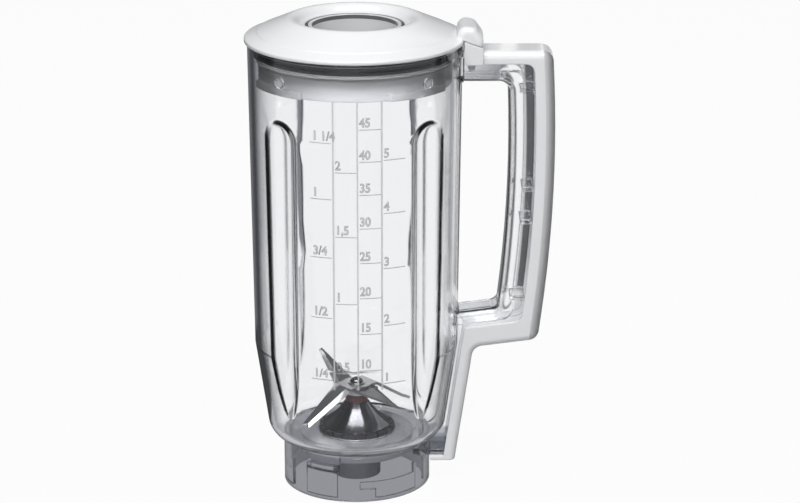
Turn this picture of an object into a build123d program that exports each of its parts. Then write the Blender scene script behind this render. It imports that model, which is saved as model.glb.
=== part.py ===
from build123d import *
from collections import namedtuple
import math
import os

# Blender jar: a clear jar with its handle frame, a white handle cover, a white lid with a filler cup,
# and a blade unit that is turned into the base from below. Sizes are in millimetres.
# The origin is on the jar's axis at the lower edge of the base ring, +Z up, +X towards the handle.

# Clearances
TURN_GAP = 0.3
SEAT_GAP = 0.1
RUNNING_GAP = 0.05
FIT_GAP = 0.2

# Jar
JAR_HEIGHT = 239.7
MOUTH_R = 55.3
JAR_TAPER = 1.9
SHOULDER_Z = 77.5
HEEL_CENTRE_R = 37.0
HEEL_RADIUS = 10.0
FLOOR_Z = 25.4
WALL = 2.8
BASE_RING_R = 38.8
FLOOR_HOLE_R = 20.2

# Flutes pressed into the jar's wall, and the lid nubs above them
FLUTE_ANGLES = (45, 135, 225, 315)
FLUTE_RADIUS = 9.6
FLUTE_DEPTH = 4.9
FLUTE_TOP_DROP = 34.9
FLUTE_ROUND = 2.4
FLUTE_INNER_ROUND = 1.0
NUB_RADIUS = 2.6
NUB_DROP = 13.8

# Bayonet lands and carrier lugs inside the base ring: each ledge begins an entry's width after a lug
BAYONET_COUNT = 3
LAND_DEPTH = 1.2
LAND_LIFT = 1.2
LUG_ARC = 29.0
LUG_THICKNESS = 3.4
ENTRY_ARC = 32.0
LEDGE_ARC = 40.0
LEDGE_Z = 10.2
LIP_ARC = 13.0
LIP_THICKNESS = 4.0
STOP_ARC = 2.4
STOP_Z = 15.5

# Raised mark on the front of the base ring
MARK_ANGLE = -88.0
MARK_ARC = 7.0
MARK_DROP = 1.1
MARK_HEIGHT = 1.7
MARK_DEPTH = 0.5

# Handle: depths are measured inwards from the outer crest of each limb
HANDLE_REACH = 47.8
GRIP_MID_DROP = 54.7
GRIP_BOW = 728.0
TOP_ARM_DROP = 3.9
LOW_ARM_DROP = 3.1
LOW_ARM_SLOPE = 0.13
LEG_STANDOFF = 2.2
LEG_END_Z = 12.5
COVER_HALF = 11.0
COVER_WALL = 2.0
COVER_CROWN = 3.8
CREST_CORNER = 6.0
EDGE_CORNER = 4.6
TOP_COVER_DEPTH = 6.6
GRIP_COVER_DEPTH = 10.1
LOW_COVER_DEPTH = 11.8
LEG_COVER_DEPTH = 6.4
TOP_NECK_DEPTH = 10.4
GRIP_NECK_DEPTH = 15.6
LOW_NECK_DEPTH = 14.0
TOP_BULB_DEPTH = 16.1
GRIP_BULB_DEPTH = 23.7
LOW_BULB_DEPTH = 20.4
BULB_ROUND = 4.0
NECK_LAP = 2.4
FRAME_WALL = 2.2
RIB_THICKNESS = 1.8
RIB_SETBACK = 5.2
SNAP_RADIUS = 2.4
ROOT_PAD_DROP = 2.8

# Lid: heights are measured from the underside of its rim
LID_OVERHANG = 1.5
LID_EDGE = 1.4
LID_BEVEL_WIDTH = 6.6
LID_BEVEL_H = 4.8
LID_CREST_H = 12.8
LID_CREST_ROUND = 5.0
LID_SHELL = 2.4
LID_STEP = 0.5
CUP_HOLE_R = 23.9
CUP_LEDGE = 1.7
CUP_SEAT_H = 5.9
CUP_RECESS = 6.1
RECESS_FLAT = 1.8
RECESS_ROUND = 3.0
COLLAR_WALL = 2.2
COLLAR_DROP = 4.0
SKIRT_GAP = 2.7
SKIRT_WALL = 3.4
SKIRT_DEPTH = 20.4
SEAL_ZONE = 7.6
SEAL_DEPTH = 1.2
SEAL_LIP = 1.3
BEAD_REACH = 1.0
BEAD_HEIGHT = 1.2
RAMP_LEAD = 26.0
RAMP_TRAIL = 15.0
RAMP_LEAD_IN = 2.2
RAMP_NOSE = 0.4
TAB_REACH = 8.8
TAB_HALF = 13.0
TAB_HEIGHT = 9.6
TAB_ROUND = 4.5
TAB_CONE_H = 2.0
TAB_CONE_SLOPE = 0.373
RIM_GAP = 0.5

# Filler cup
CUP_RIM_THICKNESS = 1.8
CUP_WALL = 1.6
CUP_DEPTH = 30.0
CUP_DRAFT = 1.6

# Blade carrier with its seal
CARRIER_HUB_R = 18.2
CARRIER_TOP_Z = 30.4
TOOTH_COUNT = 20
TOOTH_SHARE = 0.74
FLANGE_R = 30.0
FLANGE_THICKNESS = 3.8
WING_REACH = 3.2
WING_ARC = 30.0
CARRIER_SEAL_THICKNESS = 3.0
CARRIER_SEAL_WIDTH = 9.2
SLEEVE_R = 12.6
SLEEVE_WALL = 1.8
SLEEVE_END_Z = 2.6

# Shaft line
SHAFT_R = 3.0
SHAFT_FLAT = 2.3
STUD_R = 2.0
STUD_LENGTH = 1.4
BUSH_WALL = 1.45
BUSH_LENGTH = 6.0
SHAFT_PASS_R = 3.6
DOME_R = 18.0
DOME_EDGE = 0.7
DOME_NECK_R = 6.2
DOME_TOP_Z = 43.4
DOME_SAG = 1.0
SHAFT_SEAL_R = 5.9
SHAFT_SEAL_HEIGHT = 3.4
COLLAR_R = 5.2
COLLAR_HEIGHT = 3.2
WASHER_R = 6.0
WASHER_THICKNESS = 0.6
RING_R = 4.6
RING_THICKNESS = 0.8
RING_GROOVE = 0.6
COUPLING_R = 9.6
COUPLING_TOP_GAP = 1.2
COUPLING_END_Z = 4.0
SOCKET_R = 6.4
SOCKET_DEPTH = 6.0
SPLINE_COUNT = 6
SPLINE_WIDTH = 1.4
SPLINE_DEPTH = 1.6

# Blades
BLADE_THICKNESS = 1.4
BLADE_HUB_R = 8.0
BLADE_BEND_R = 9.0
BLADE_ROOT_WIDTH = 13.0
BEVEL_WIDTH = 3.4
EDGE_LEFT = 0.3
HUB_WASHER_R = 4.6
HUB_WASHER_THICKNESS = 0.6
NUT_R = 3.6
NUT_HEIGHT = 2.6
Arm = namedtuple("Arm", "azimuth tilt length tip")
LOWER_ARMS = (Arm(140.0, 42.0, 22.6, 1.2), Arm(-47.0, -7.0, 22.6, 1.2))
UPPER_ARMS = (Arm(40.0, -32.0, 29.6, 4.4), Arm(220.0, -32.0, 29.6, 4.4))

# Heights and radii that follow from the sizes above
SHOULDER_R = MOUTH_R - JAR_TAPER
LID_RIM_R = MOUTH_R + LID_OVERHANG
LID_BEVEL_R = LID_RIM_R - LID_BEVEL_WIDTH
CUP_SEAT_R = CUP_HOLE_R + CUP_LEDGE
LID_CREST_R = CUP_SEAT_R + CUP_RECESS
SKIRT_R = MOUTH_R - WALL - SKIRT_GAP
COVER_ROOT_R = LID_RIM_R + RIM_GAP
WEB_LOW_Z = LEG_END_Z + COVER_WALL + FIT_GAP
LID_Z = JAR_HEIGHT + TURN_GAP
NUB_Z = LID_Z - NUB_DROP
BASE_BORE_R = BASE_RING_R - WALL
HEEL_Z = FLOOR_Z + HEEL_RADIUS
TOP_CREST_Z = JAR_HEIGHT - TOP_ARM_DROP
GRIP_CREST_X = MOUTH_R + HANDLE_REACH
GRIP_MID_Z = JAR_HEIGHT - GRIP_MID_DROP
NECK_HALF = COVER_HALF - COVER_WALL - FIT_GAP
BUSH_R = SHAFT_R + RUNNING_GAP + BUSH_WALL
FLANGE_TOP_Z = FLOOR_Z - CARRIER_SEAL_THICKNESS - SEAT_GAP
FLANGE_Z = FLANGE_TOP_Z - FLANGE_THICKNESS
SEAL_TOP_Z = DOME_TOP_Z + SHAFT_SEAL_HEIGHT
COLLAR_Z = SEAL_TOP_Z + TURN_GAP
LOWER_BLADE_Z = COLLAR_Z + COLLAR_HEIGHT
UPPER_BLADE_Z = LOWER_BLADE_Z + BLADE_THICKNESS
BLADES_TOP_Z = UPPER_BLADE_Z + BLADE_THICKNESS
WASHER_Z = FLANGE_Z - SEAT_GAP - WASHER_THICKNESS
RING_Z = WASHER_Z - RING_THICKNESS
COUPLING_TOP_Z = RING_Z - COUPLING_TOP_GAP
SHAFT_END_Z = COUPLING_END_Z + SOCKET_DEPTH

# Turns of the search for a point that lies on two limbs
CLOSING_STEPS = 6

Limbs = namedtuple("Limbs", "top grip low leg")
CREST = Limbs(0, 0, 0, 0)
COVER_EDGE = Limbs(TOP_COVER_DEPTH, GRIP_COVER_DEPTH, LOW_COVER_DEPTH, LEG_COVER_DEPTH)
LEG_NECK_DEPTH = LEG_COVER_DEPTH + LEG_STANDOFF + WALL
NECK_FOOT = Limbs(TOP_NECK_DEPTH, GRIP_NECK_DEPTH, LOW_NECK_DEPTH, LEG_NECK_DEPTH)
BULB_FACE = Limbs(TOP_BULB_DEPTH, GRIP_BULB_DEPTH, LOW_BULB_DEPTH, LEG_NECK_DEPTH)


def shifted(limbs, step):
    """Depths of every limb, moved inwards by one step."""
    return Limbs(*(depth + step for depth in limbs))


def polar(radius, angle, z=0.0):
    return (radius * math.cos(math.radians(angle)), radius * math.sin(math.radians(angle)), z)


def spread(count):
    """Azimuths that share a full turn evenly."""
    return [math.degrees(math.tau) * step / count for step in range(count)]


def ring(inner, outer, low, high):
    """A plain ring about the jar's axis."""
    return Pos(0, 0, low) * extrude(Circle(outer) - Circle(inner), high - low)


def disc(radius, low, high):
    return Pos(0, 0, low) * extrude(Circle(radius), high - low)


def turned(*edges):
    """Solid of revolution from the edges of its half section."""
    return revolve(Plane.XZ * make_face(list(edges)), Axis.Z)


def turned_polygon(points):
    return revolve(Plane.XZ * Polygon(*points, align=None), Axis.Z)


def sector(inner, outer, low, high, start, arc):
    """Part of a ring that begins at an azimuth and runs counter-clockwise."""
    section = Plane.XZ * Polygon((inner, low), (outer, low), (outer, high), (inner, high), align=None)
    return Rot(0, 0, start) * revolve(section, Axis.Z, arc)


def round_corners(face, corners):
    """Rounds the corner of a face nearest to each point."""
    for point, radius in corners:
        face = fillet(face.vertices().sort_by_distance((*point, 0))[0], radius)
    return face


# Jar profile

def heel_tangent(inset):
    """Where the cone leaves the rounded heel, on the surface inset from the outside."""
    radius = HEEL_RADIUS - inset
    across = SHOULDER_R - inset - HEEL_CENTRE_R
    up = SHOULDER_Z - HEEL_Z
    angle = math.atan2(across, up) - math.asin(radius / math.hypot(across, up))
    return angle, (HEEL_CENTRE_R + radius * math.cos(angle), HEEL_Z - radius * math.sin(angle))


def wall_radius(z):
    """Outer radius of the jar above its shoulder."""
    return SHOULDER_R + (MOUTH_R - SHOULDER_R) * (z - SHOULDER_Z) / (JAR_HEIGHT - SHOULDER_Z)


def cone_radius(z):
    """Outer radius of the tapered foot of the jar, carried on below it."""
    return SHOULDER_R - (SHOULDER_Z - z) * math.tan(heel_tangent(0)[0])


def bowl(inset, top):
    """The jar's form as a filled solid, inset from the outside by a wall."""
    angle, tangent = heel_tangent(inset)
    radius = HEEL_RADIUS - inset
    middle = (angle + math.pi / 2) / 2
    floor = FLOOR_Z + inset
    heel = (HEEL_CENTRE_R + radius * math.cos(middle), HEEL_Z - radius * math.sin(middle))
    shoulder = (SHOULDER_R - inset, SHOULDER_Z)
    mouth = (wall_radius(top) - inset, top)
    return turned(
        Line((0, floor), (HEEL_CENTRE_R, floor)),
        ThreePointArc((HEEL_CENTRE_R, floor), heel, tangent),
        Line(tangent, shoulder),
        Line(shoulder, mouth),
        Line(mouth, (0, top)),
        Line((0, top), (0, floor)),
    )


def flutes(radius):
    """Round-topped upright rods at the four flutes."""
    axis_r = SHOULDER_R - FLUTE_DEPTH + FLUTE_RADIUS
    apex_z = JAR_HEIGHT - FLUTE_TOP_DROP
    reach = axis_r - wall_radius(apex_z)
    centre_z = apex_z - math.sqrt(FLUTE_RADIUS**2 - reach**2)
    rod = Pos(0, 0, FLOOR_Z) * extrude(Circle(radius), centre_z - FLOOR_Z)
    rod += Pos(0, 0, centre_z) * Sphere(radius)
    return [Rot(0, 0, angle) * Pos(axis_r, 0, 0) * rod for angle in FLUTE_ANGLES]


def fluted_bowl(inset, top, rounding):
    """The jar's form with its flutes pressed in and their edges rounded."""
    form = bowl(inset, top) - flutes(FLUTE_RADIUS + inset)
    plain = form.faces().filter_by(GeomType.CONE).edges()
    pressed = form.faces().filter_by(GeomType.CYLINDER) + form.faces().filter_by(GeomType.SPHERE)
    return fillet([edge for edge in pressed.edges() if edge in plain], rounding)


# Handle outlines in the plane of the handle

def grip_x(z, depth):
    return GRIP_CREST_X - GRIP_BOW + math.sqrt((GRIP_BOW - depth) ** 2 - (z - GRIP_MID_Z) ** 2)


def low_z(x, depth):
    return SHOULDER_Z - LOW_ARM_DROP + LOW_ARM_SLOPE * (x - SHOULDER_R) + depth


def leg_x(z, depth):
    return cone_radius(z) + LEG_STANDOFF + LEG_COVER_DEPTH - depth


def top_corner(limbs):
    z = TOP_CREST_Z - limbs.top
    return (grip_x(z, limbs.grip), z)


def low_corner(limbs):
    """Where the lower arm meets the grip, closed in on by a few steps."""
    x = GRIP_CREST_X - limbs.grip
    for _ in range(CLOSING_STEPS):
        z = low_z(x, limbs.low)
        x = grip_x(z, limbs.grip)
    return (x, z)


def elbow(limbs):
    """Where the lower arm turns down into the leg."""
    x = SHOULDER_R
    for _ in range(CLOSING_STEPS):
        z = low_z(x, limbs.low)
        x = leg_x(z, limbs.leg)
    return (x, z)


def grip_arc(start, end, depth):
    middle_z = (start[1] + end[1]) / 2
    return ThreePointArc(start, (grip_x(middle_z, depth), middle_z), end)


def handle_loop(outer, inner, root_x, outer_round, inner_round):
    """Top arm, grip and lower arm between two depths, from the jar and back to it."""
    top_out, top_in = top_corner(outer), top_corner(inner)
    low_out, low_in = low_corner(outer), low_corner(inner)
    start_out, start_in = (root_x, top_out[1]), (root_x, top_in[1])
    end_out, end_in = (root_x, low_z(root_x, outer.low)), (root_x, low_z(root_x, inner.low))
    face = make_face([
        Line(start_out, top_out),
        grip_arc(top_out, low_out, outer.grip),
        Line(low_out, end_out),
        Line(end_out, end_in),
        Line(end_in, low_in),
        grip_arc(low_in, top_in, inner.grip),
        Line(top_in, start_in),
        Line(start_in, start_out),
    ])
    corners = [(top_out, outer_round), (low_out, outer_round), (top_in, inner_round), (low_in, inner_round)]
    return round_corners(face, corners)


def handle_run(outer, inner, root_x, leg_end, outer_round, inner_round):
    """Top arm, grip, lower arm and leg between two depths."""
    top_out, top_in = top_corner(outer), top_corner(inner)
    low_out, low_in = low_corner(outer), low_corner(inner)
    elbow_out, elbow_in = elbow(outer), elbow(inner)
    start_out, start_in = (root_x, top_out[1]), (root_x, top_in[1])
    end_out, end_in = (leg_x(leg_end, outer.leg), leg_end), (leg_x(leg_end, inner.leg), leg_end)
    face = make_face([
        Line(start_out, top_out),
        grip_arc(top_out, low_out, outer.grip),
        Line(low_out, elbow_out),
        Line(elbow_out, end_out),
        Line(end_out, end_in),
        Line(end_in, elbow_in),
        Line(elbow_in, low_in),
        grip_arc(low_in, top_in, inner.grip),
        Line(top_in, start_in),
        Line(start_in, start_out),
    ])
    corners = [(top_out, outer_round), (low_out, outer_round), (elbow_out, outer_round)]
    corners += [(top_in, inner_round), (low_in, inner_round), (elbow_in, inner_round / 2)]
    return round_corners(face, corners)


def bar(face, half):
    """A handle outline given its width, half to each side."""
    return extrude(Plane.XZ * face, half, both=True)


def crest_edges(solid, point):
    """The edge of each side of a bar that passes nearest to a point of its outline."""
    sides = solid.faces().sort_by(Axis.Y)
    return [
        side.edges().sort_by_distance((point[0], side.center().Y, point[1]))[0]
        for side in (sides[0], sides[-1])
    ]


# Pieces of the jar

def handle_frame():
    """Clear frame of the handle: a rounded hand strip with a neck that the cover clips over."""
    inside = SHOULDER_R - 2 * WALL
    bulb = bar(handle_loop(NECK_FOOT, BULB_FACE, inside, CREST_CORNER, EDGE_CORNER), COVER_HALF)
    top_face = ((MOUTH_R + GRIP_CREST_X) / 2, TOP_CREST_Z - TOP_BULB_DEPTH)
    bulb = fillet(crest_edges(bulb, top_face), BULB_ROUND)
    rim = shifted(COVER_EDGE, -NECK_LAP)
    neck = bar(handle_run(rim, NECK_FOOT, inside, WEB_LOW_Z, CREST_CORNER, EDGE_CORNER), NECK_HALF)
    frame = bulb + neck
    floor = Limbs(*(depth - FRAME_WALL for depth in BULB_FACE[:3]), LEG_NECK_DEPTH)
    open_side = shifted(rim, -NECK_LAP)
    hollow_end = WEB_LOW_Z + FRAME_WALL
    hollow = handle_run(open_side, floor, inside, hollow_end, CREST_CORNER / 2, EDGE_CORNER)
    frame -= bar(hollow, NECK_HALF - FRAME_WALL)
    return frame + handle_ribs() + snap_bosses() + root_pad()


def root_pad():
    """Pad on the jar's wall that the top arm grows from."""
    inside = SHOULDER_R - WALL
    low = TOP_CREST_Z - TOP_BULB_DEPTH
    high = TOP_CREST_Z - ROOT_PAD_DROP
    block = Box(
        MOUTH_R + FIT_GAP - inside, 2 * COVER_HALF, high - low,
        align=(Align.MIN, Align.CENTER, Align.MIN),
    )
    return Pos(inside, 0, low) * block


def handle_ribs():
    """Cross ribs in the recess beside the hand strip, at both ends of the grip."""
    low = low_corner(BULB_FACE)[1] + RIB_SETBACK
    high = top_corner(BULB_FACE)[1] - RIB_SETBACK
    ribs = []
    for z in (low, high):
        start = grip_x(z, GRIP_NECK_DEPTH + FRAME_WALL)
        end = grip_x(z, GRIP_COVER_DEPTH + FIT_GAP)
        rib = Box(
            end - start, 2 * (COVER_HALF - FIT_GAP), RIB_THICKNESS,
            align=(Align.MIN, Align.CENTER, Align.CENTER),
        )
        ribs.append(Pos(start, 0, z) * rib)
    return ribs


def snap_bosses():
    """Round snap boss on each side of the top arm's neck."""
    x = COVER_ROOT_R + SNAP_RADIUS
    z = TOP_CREST_Z - (TOP_COVER_DEPTH + TOP_NECK_DEPTH) / 2
    room = (TOP_NECK_DEPTH - TOP_COVER_DEPTH) / 2 - FIT_GAP
    return Pos(x, 0, z) * Rot(90, 0, 0) * Cylinder(min(SNAP_RADIUS, room), 2 * COVER_HALF)


def web_outline(low, depth):
    """Space between the jar's axis and the leg, below the shoulder."""
    foot = (leg_x(low, depth), low)
    head = (leg_x(SHOULDER_Z, depth), SHOULDER_Z)
    return Polygon((0, low), foot, head, (0, SHOULDER_Z), align=None)


def leg_web():
    """Foot of the frame that ties the leg to the heel and the base ring."""
    web = bar(web_outline(WEB_LOW_Z, LEG_COVER_DEPTH - NECK_LAP), NECK_HALF)
    return web - bar(web_outline(WEB_LOW_Z + FRAME_WALL, 0), NECK_HALF - FRAME_WALL)


def bayonet_lands():
    """Lands that the lugs of the machine's drive enter between, and ledges that they turn over."""
    inner = BASE_BORE_R - LAND_DEPTH
    outer = BASE_BORE_R + WALL / 2
    ledge = LUG_ARC / 2 + ENTRY_ARC
    lands = sector(inner, outer, LAND_LIFT, FLANGE_Z - TURN_GAP, -LUG_ARC / 2, LUG_ARC)
    lands += sector(inner, outer, LAND_LIFT, LEDGE_Z, ledge, LEDGE_ARC)
    lands += sector(inner, outer, LEDGE_Z - LIP_THICKNESS, LEDGE_Z, ledge - LIP_ARC, LIP_ARC)
    lands += sector(inner, outer, LAND_LIFT, STOP_Z, ledge + LEDGE_ARC - STOP_ARC, STOP_ARC)
    return [Rot(0, 0, turn) * lands for turn in spread(BAYONET_COUNT)]


def carrier_lugs():
    """Inner lugs under the floor that hold the blade carrier's wings."""
    top = FLANGE_Z - TURN_GAP
    inner = FLANGE_R + TURN_GAP + FIT_GAP
    lug = sector(inner, BASE_BORE_R + WALL / 2, top - LUG_THICKNESS, top, -LUG_ARC / 2, LUG_ARC)
    return [Rot(0, 0, turn) * lug for turn in spread(BAYONET_COUNT)]


def front_mark():
    """Small raised mark that shows where the base ring is set on the machine."""
    top = FLOOR_Z - MARK_DROP
    outer = BASE_RING_R + MARK_DEPTH
    start = MARK_ANGLE - MARK_ARC / 2
    return sector(BASE_RING_R - WALL / 2, outer, top - MARK_HEIGHT, top, start, MARK_ARC)


def lid_nubs():
    """Round nubs inside the mouth that the lid's ramps turn under."""
    start = SKIRT_R + RIM_GAP
    length = wall_radius(NUB_Z) - WALL / 2 - start
    nub = Pos(start, 0, NUB_Z) * Rot(0, 90, 0) * Cylinder(
        NUB_RADIUS, length, align=(Align.CENTER, Align.CENTER, Align.MIN)
    )
    return [Rot(0, 0, angle) * nub for angle in FLUTE_ANGLES]


def make_jar_body():
    outer = fluted_bowl(0, JAR_HEIGHT, FLUTE_ROUND)
    outer += handle_frame()
    outer += leg_web()
    outer += disc(BASE_RING_R, 0, HEEL_Z)
    body = outer - fluted_bowl(WALL, JAR_HEIGHT + WALL, FLUTE_INNER_ROUND)
    body -= disc(BASE_BORE_R, -WALL, FLOOR_Z)
    body -= disc(FLOOR_HOLE_R, 0, HEEL_Z)
    return body + bayonet_lands() + carrier_lugs() + front_mark() + lid_nubs()


def make_handle_cover():
    outline = handle_run(CREST, COVER_EDGE, COVER_ROOT_R, LEG_END_Z, CREST_CORNER, EDGE_CORNER)
    cover = bar(outline, COVER_HALF)
    crest_x = (COVER_ROOT_R + GRIP_CREST_X) / 2
    cover = fillet(crest_edges(cover, (crest_x, TOP_CREST_Z)), COVER_CROWN)
    cover += tab_block()
    inside = handle_run(
        shifted(CREST, COVER_WALL), shifted(COVER_EDGE, COVER_WALL), COVER_ROOT_R - COVER_WALL,
        LEG_END_Z + COVER_WALL, CREST_CORNER - COVER_WALL, EDGE_CORNER,
    )
    hollow = bar(inside, COVER_HALF - COVER_WALL)
    roof = crest_edges(hollow, (crest_x, TOP_CREST_Z - COVER_WALL))
    return cover - fillet(roof, COVER_CROWN - COVER_WALL) + cover_foot()


def tab_block():
    """Head of the cover that the lid's tab turns over, hollowed to the lid's rim."""
    low = TOP_CREST_Z - TOP_COVER_DEPTH
    high = LID_Z + TAB_CONE_H
    block = Pos(LID_BEVEL_R, 0, low) * Box(
        LID_RIM_R + TAB_REACH - LID_BEVEL_R, 2 * TAB_HALF, high - low,
        align=(Align.MIN, Align.CENTER, Align.MIN),
    )
    return block - disc(COVER_ROOT_R, low, high) - tab_cone(-TURN_GAP, high + TAB_HEIGHT)


def cover_foot():
    """Plate that closes the leg below the web, up to the base ring."""
    start = BASE_RING_R + TURN_GAP
    end = leg_x(LEG_END_Z, LEG_COVER_DEPTH / 2)
    plate = Box(end - start, 2 * COVER_HALF, COVER_WALL, align=(Align.MIN, Align.CENTER, Align.MIN))
    return Pos(start, 0, LEG_END_Z) * plate


# Lid group

def tab_cone(lift, top):
    """Everything above the cone on which the lid's tab turns over the handle, raised by a lift."""
    near = LID_Z + TAB_CONE_H + lift
    far_r = LID_RIM_R + 2 * TAB_REACH
    far = near - TAB_CONE_SLOPE * 2 * TAB_REACH
    return turned_polygon([(0, near), (LID_RIM_R, near), (far_r, far), (far_r, top), (0, top)])


def lid_profile():
    cone_slope = (LID_CREST_H - LID_BEVEL_H) / (LID_BEVEL_R - LID_CREST_R)
    skirt_in = SKIRT_R - SKIRT_WALL
    roof = LID_BEVEL_H + (LID_BEVEL_R - skirt_in) * cone_slope - LID_SHELL
    seal_r = SKIRT_R - SEAL_DEPTH
    collar_r = CUP_HOLE_R + COLLAR_WALL
    recess = CUP_SEAT_H + CUP_RIM_THICKNESS
    bead_r = SKIRT_R + BEAD_REACH
    points = [
        (CUP_HOLE_R, -COLLAR_DROP),
        (CUP_HOLE_R, CUP_SEAT_H),
        (CUP_SEAT_R, CUP_SEAT_H),
        (CUP_SEAT_R, recess),
        (CUP_SEAT_R + RECESS_FLAT, recess),
        (LID_CREST_R, LID_CREST_H),
        (LID_BEVEL_R, LID_BEVEL_H),
        (LID_BEVEL_R + LID_STEP, LID_BEVEL_H - LID_STEP),
        (LID_RIM_R - LID_STEP, LID_EDGE + LID_STEP),
        (LID_RIM_R, LID_EDGE),
        (LID_RIM_R, 0),
        (seal_r, 0),
        (seal_r, -SEAL_ZONE),
        (bead_r, -SEAL_ZONE),
        (bead_r, -SEAL_ZONE - BEAD_HEIGHT),
        (SKIRT_R, -SEAL_ZONE - BEAD_HEIGHT - BEAD_REACH),
        (SKIRT_R, -SKIRT_DEPTH),
        (skirt_in, -SKIRT_DEPTH),
        (skirt_in, roof),
        (LID_CREST_R, LID_CREST_H - LID_SHELL),
        (CUP_SEAT_R + RECESS_FLAT, CUP_SEAT_H - LID_SHELL),
        (collar_r, CUP_SEAT_H - LID_SHELL),
        (collar_r, -COLLAR_DROP),
    ]
    face = Polygon(*[(r, LID_Z + h) for r, h in points], align=None)
    corners = [((LID_CREST_R, LID_Z + LID_CREST_H), LID_CREST_ROUND)]
    corners.append(((CUP_SEAT_R + RECESS_FLAT, LID_Z + recess), RECESS_ROUND))
    return round_corners(face, corners)


def lid_ramps():
    """Bayonet ramps low on the skirt, each with a chamfered lead-in."""
    low = LID_Z - SKIRT_DEPTH
    high = NUB_Z - NUB_RADIUS - TURN_GAP
    outer = wall_radius(low) - WALL - RIM_GAP
    ramps = []
    for angle in FLUTE_ANGLES:
        ramp = sector(SKIRT_R - SEAL_DEPTH, outer, low, high, angle - RAMP_LEAD, RAMP_LEAD + RAMP_TRAIL)
        lead = ramp.edges().sort_by_distance(polar(outer, angle - RAMP_LEAD, (low + high) / 2))[0]
        ramps.append(chamfer(lead, outer - SKIRT_R - RAMP_NOSE, RAMP_LEAD_IN))
    return ramps


def lid_tab():
    """Thumb tab over the handle, cut below by the cone it turns on."""
    root = LID_RIM_R - TAB_ROUND
    tip = LID_RIM_R + TAB_REACH
    shoulder = (LID_RIM_R - TAB_ROUND + LID_EDGE, LID_Z + TAB_HEIGHT)
    brow = (LID_RIM_R + TAB_ROUND, LID_Z + TAB_HEIGHT - LID_EDGE)
    low = LID_Z - TAB_CONE_SLOPE * TAB_REACH
    lip = (tip, LID_Z + TAB_CONE_H)
    face = Polygon((root, low), (root, LID_Z + LID_BEVEL_H), shoulder, brow, lip, (tip, low), align=None)
    face = round_corners(face, [(shoulder, TAB_ROUND), (brow, TAB_ROUND), (lip, TAB_ROUND / 2)])
    tab = bar(face, TAB_HALF)
    crest = crest_edges(tab, ((shoulder[0] + brow[0]) / 2, LID_Z + TAB_HEIGHT))
    tab = fillet(crest, TAB_ROUND - LID_EDGE)
    return tab & tab_cone(0, LID_Z + 2 * TAB_HEIGHT)


def make_lid():
    lid = revolve(Plane.XZ * lid_profile(), Axis.Z)
    return lid + lid_ramps() + lid_tab()


def make_lid_seal():
    """Rubber ring in the skirt's groove with two lips towards the jar's mouth."""
    low = LID_Z - SEAL_ZONE
    inner = SKIRT_R - SEAL_DEPTH
    lip_r = wall_radius(low) - WALL - TURN_GAP
    seal = ring(inner, SKIRT_R, low, LID_Z)
    for z in (low + SEAL_LIP, LID_Z - TURN_GAP - 2 * SEAL_LIP):
        top = z + SEAL_LIP
        seal += turned_polygon([(inner, z), (lip_r, z + SEAL_LIP / 2), (lip_r, top), (inner, top)])
    return seal


def make_filler_cup():
    rim_r = CUP_SEAT_R - FIT_GAP
    top_r = CUP_HOLE_R - FIT_GAP
    seat = LID_Z + CUP_SEAT_H
    rim = seat + CUP_RIM_THICKNESS
    base = rim - CUP_DEPTH
    base_r = top_r - CUP_DRAFT
    return turned_polygon([
        (0, base),
        (base_r, base),
        (top_r, seat),
        (rim_r, seat),
        (rim_r, rim),
        (top_r - CUP_WALL, rim),
        (base_r - CUP_WALL, base + CUP_WALL),
        (0, base + CUP_WALL),
    ])


# Blade unit

def make_blade_carrier():
    hub = disc(CARRIER_HUB_R, FLANGE_Z, CARRIER_TOP_Z)
    flange = disc(FLANGE_R, FLANGE_Z, FLANGE_TOP_Z)
    sleeve = ring(SLEEVE_R - SLEEVE_WALL, SLEEVE_R, SLEEVE_END_Z, FLANGE_TOP_Z)
    tooth_r = FLOOR_HOLE_R - TURN_GAP
    tooth_arc = math.degrees(math.tau) / TOOTH_COUNT * TOOTH_SHARE
    tooth = sector(CARRIER_HUB_R - WALL, tooth_r, FLANGE_TOP_Z, CARRIER_TOP_Z, 0, tooth_arc)
    wing = sector(FLANGE_R - WALL, FLANGE_R + WING_REACH, FLANGE_Z, FLANGE_TOP_Z, -WING_ARC / 2, WING_ARC)
    body = hub + flange + sleeve
    body += [Rot(0, 0, turn) * tooth for turn in spread(TOOTH_COUNT)]
    body += [Rot(0, 0, turn) * wing for turn in spread(BAYONET_COUNT)]
    body -= disc(SHAFT_PASS_R, 0, CARRIER_TOP_Z)
    return body - disc(BUSH_R, 0, FLANGE_Z + BUSH_LENGTH)


def make_carrier_seal():
    inner = FLOOR_HOLE_R + TURN_GAP
    return ring(inner, inner + CARRIER_SEAL_WIDTH, FLANGE_TOP_Z, FLANGE_TOP_Z + CARRIER_SEAL_THICKNESS)


def make_bearing_dome():
    """Polished flared cone that carries the upper bush."""
    edge = (DOME_R, CARRIER_TOP_Z + DOME_EDGE)
    neck = (DOME_NECK_R, DOME_TOP_Z)
    sag = DOME_SAG / math.sqrt(2)
    middle = ((edge[0] + neck[0]) / 2 - sag, (edge[1] + neck[1]) / 2 - sag)
    return turned(
        Line((BUSH_R, CARRIER_TOP_Z), (DOME_R, CARRIER_TOP_Z)),
        Line((DOME_R, CARRIER_TOP_Z), edge),
        ThreePointArc(edge, middle, neck),
        Line(neck, (BUSH_R, DOME_TOP_Z)),
        Line((BUSH_R, DOME_TOP_Z), (BUSH_R, CARRIER_TOP_Z)),
    )


def bush(low):
    return ring(SHAFT_R + RUNNING_GAP, BUSH_R, low, low + BUSH_LENGTH)


# Rotor

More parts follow.
